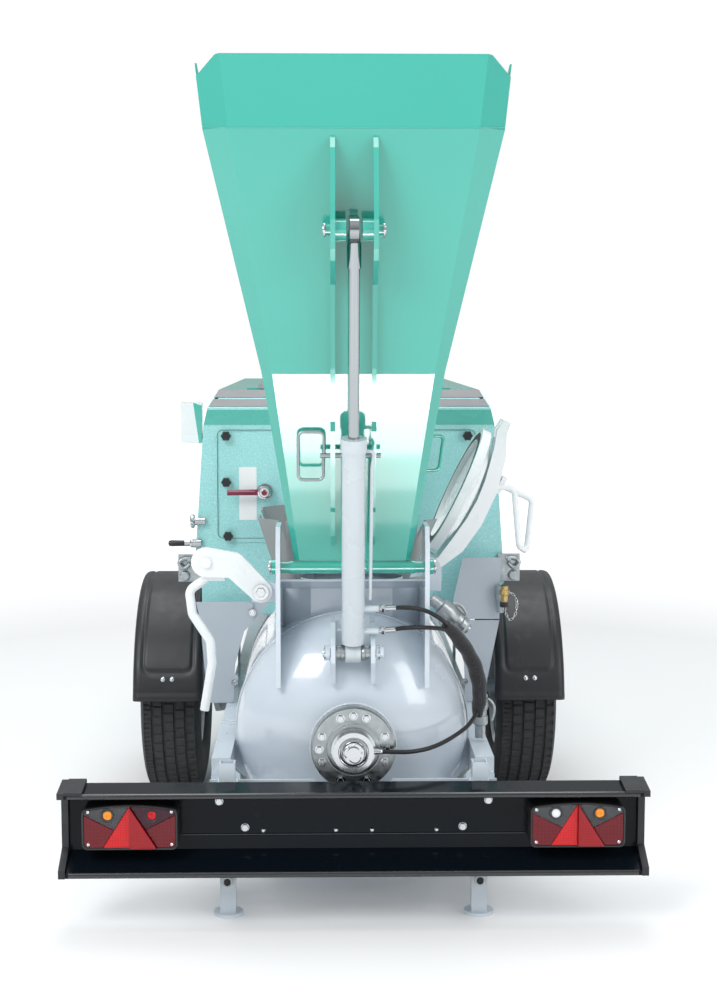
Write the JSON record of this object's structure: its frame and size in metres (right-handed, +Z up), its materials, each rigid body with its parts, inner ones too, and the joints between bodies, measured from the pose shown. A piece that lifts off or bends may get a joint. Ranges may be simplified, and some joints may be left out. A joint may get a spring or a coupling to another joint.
{
  "type": "trailer mounted screed conveyor",
  "caption": "Two-wheeled site trailer with a raised tapered loading skip, a horizontal mixing vessel with swing lid, a boxy engine hood and a rear light bar.",
  "frame": {"origin": "on the ground under the middle of the machine's bounding box", "axes": "+X to the right seen from behind, +Y towards the drawbar, +Z up"},
  "size_m": [1.474, 4.011, 2.1587],
  "materials": {
    "skip_green": "glossy green paint",
    "hood_turquoise": "fine-textured pale turquoise paint",
    "door_green": "glossy green paint",
    "vessel_grey": "glossy light grey paint",
    "arm_white": "glossy off-white paint",
    "frame_grey": "light grey paint",
    "shield_grey": "satin mid-grey paint",
    "funnel_grey": "satin dark grey paint",
    "bar_black": "glossy black paint",
    "cap_black": "moulded black",
    "guard_black": "textured black",
    "lamp_case": "moulded black",
    "lens_red": "red lens",
    "lens_clear": "clear lens",
    "zinc": "zinc plated",
    "chrome_rod": "hard chrome",
    "tyre_black": "moulded tread",
    "rubber_black": "smooth rubber",
    "seal_rubber": "smooth rubber",
    "knob_black": "moulded",
    "lever_red": "red sleeve",
    "rim_silver": "silver paint",
    "engine_grey": "painted casting",
    "tank_black": "moulded"
  },
  "bodies": {
    "root": {"chassis_frame": "frame_grey", "axle_beam": "frame_grey", "mudguard_left": "guard_black", "mudguard_right": "guard_black", "drawbar": "zinc", "overrun_housing": "zinc", "light_bar": "bar_black", "bar_end_caps": "cap_black", "lamp_housings": "lamp_case", "lamp_red_lenses": "lens_red", "lamp_clear_lenses": "lens_clear", "lamp_triangles": "lens_red", "bolts": "zinc", "pressure_vessel": "vessel_grey", "filling_neck": "vessel_grey", "filling_funnel": "funnel_grey", "vessel_saddles": "vessel_grey", "bearing_flange": "zinc", "shaft_cap": "zinc", "cylinder_lugs": "vessel_grey", "side_shields": "shield_grey", "hood_shell": "hood_turquoise", "rear_panel": "hood_turquoise", "panel_knobs": "knob_black", "control_flap": "arm_white", "engine_block": "engine_grey", "air_compressor": "engine_grey", "gearbox": "engine_grey", "fuel_tank": "tank_black", "outlet_pipe": "zinc", "air_fittings": "zinc", "hoses": "rubber_black"},
    "wheel_left": {"tyre_left": "tyre_black", "rim_left": "rim_silver"},
    "wheel_right": {"tyre_right": "tyre_black", "rim_right": "rim_silver"},
    "support_leg_left": {"leg_left": "frame_grey"},
    "support_leg_right": {"leg_right": "frame_grey"},
    "door_left": {"hood_door_left": "door_green"},
    "door_right": {"hood_door_right": "door_green"},
    "coupling": {"coupling_head": "zinc"},
    "coupling_lever": {"coupling_handle": "bar_black"},
    "parking_brake": {"brake_lever": "zinc"},
    "jockey_post": {"jockey_tube": "zinc"},
    "jockey_swivel": {"jockey_fork": "zinc"},
    "jockey_roller": {"jockey_wheel": "rubber_black"},
    "mixer": {"mixer_shaft": "zinc"},
    "lift_barrel": {"cylinder_barrel": "arm_white"},
    "lift_rod": {"cylinder_rod": "chrome_rod"},
    "skip": {"skip_shell": "skip_green", "skip_rails": "skip_green", "skip_handle": "skip_green"},
    "lock_pin": {"skip_lock_pin": "zinc"},
    "lid": {"lid_dome": "arm_white", "lid_seal": "seal_rubber", "lid_arm": "arm_white", "lid_handle": "arm_white"},
    "lid_lock": {"lock_lever": "arm_white", "lock_handle": "arm_white"},
    "valve": {"valve_lever": "lever_red"}
  },
  "joints": [
    {"name": "skip_lift", "type": "hinge", "parent": "root", "child": "skip", "pos_m": [0, -1.65047, 0.876], "axis": [1, 0, 0], "range_deg": [0, 118]},
    {"name": "cylinder_swing", "type": "hinge", "parent": "root", "child": "lift_barrel", "pos_m": [0, -1.72547, 0.66], "axis": [1, 0, 0], "range_deg": [0, 118.61], "deforming": ["hoses"]},
    {"name": "cylinder_stroke", "type": "slide", "parent": "lift_barrel", "child": "lift_rod", "axis": [0, -0.215, 0.9766], "range_m": [-0.39295, 0]},
    {"name": "skip_lock_slide", "type": "slide", "parent": "skip", "child": "lock_pin", "axis": [-1, 0, 0], "range_m": [0, 0.05]},
    {"name": "lid_swing", "type": "hinge", "parent": "root", "child": "lid", "pos_m": [0.225, -1.31047, 0.838], "axis": [0, -1, 0], "range_deg": [0, 115.2]},
    {"name": "lid_lock_turn", "type": "hinge", "parent": "root", "child": "lid_lock", "pos_m": [-0.245, -1.56047, 0.8], "axis": [0, 1, 0], "range_deg": [0, 40]},
    {"name": "mixer_spin", "type": "hinge", "parent": "root", "child": "mixer", "pos_m": [0, -1.26047, 0.422], "axis": [0, 1, 0], "continuous": true},
    {"name": "valve_turn", "type": "hinge", "parent": "root", "child": "valve", "pos_m": [-0.256, -1.05447, 1.018], "axis": [0, -1, 0], "range_deg": [0, 90]},
    {"name": "wheel_left_spin", "type": "hinge", "parent": "root", "child": "wheel_left", "pos_m": [-0.564, -0.61047, 0.325], "axis": [1, 0, 0], "continuous": true},
    {"name": "wheel_right_spin", "type": "hinge", "parent": "root", "child": "wheel_right", "pos_m": [0.564, -0.61047, 0.325], "axis": [1, 0, 0], "continuous": true},
    {"name": "leg_left_slide", "type": "slide", "parent": "root", "child": "support_leg_left", "axis": [0, 0, 1], "range_m": [0, 0.1]},
    {"name": "leg_right_slide", "type": "slide", "parent": "root", "child": "support_leg_right", "axis": [0, 0, 1], "range_m": [0, 0.1]},
    {"name": "door_left_swing", "type": "hinge", "parent": "root", "child": "door_left", "pos_m": [-0.27, -0.16047, 1.332], "axis": [0, 1, 0], "range_deg": [0, 75]},
    {"name": "door_right_swing", "type": "hinge", "parent": "root", "child": "door_right", "pos_m": [0.27, -0.16047, 1.332], "axis": [0, -1, 0], "range_deg": [0, 75]},
    {"name": "overrun_slide", "type": "slide", "parent": "root", "child": "coupling", "axis": [0, 1, 0], "range_m": [-0.08, 0]},
    {"name": "coupling_lever_lift", "type": "hinge", "parent": "coupling", "child": "coupling_lever", "pos_m": [0, 1.91453, 0.396], "axis": [-1, 0, 0], "range_deg": [0, 60]},
    {"name": "parking_brake_pull", "type": "hinge", "parent": "root", "child": "parking_brake", "pos_m": [0, 1.38953, 0.426], "axis": [-1, 0, 0], "range_deg": [0, 55]},
    {"name": "jockey_slide", "type": "slide", "parent": "root", "child": "jockey_post", "axis": [0, 0, 1], "range_m": [0, 0.07]},
    {"name": "jockey_turn", "type": "hinge", "parent": "jockey_post", "child": "jockey_swivel", "pos_m": [0.105, 1.45953, 0.23], "axis": [0, 0, 1], "continuous": true},
    {"name": "jockey_roll", "type": "hinge", "parent": "jockey_swivel", "child": "jockey_roller", "pos_m": [0.105, 1.50453, 0.09], "axis": [1, 0, 0], "continuous": true}
  ],
  "couplings": [
    {"joint": "cylinder_swing", "follows": "skip_lift", "ratio": 1.0026},
    {"joint": "cylinder_stroke", "follows": "skip_lift", "m_per_rad": -0.19032}
  ]
}
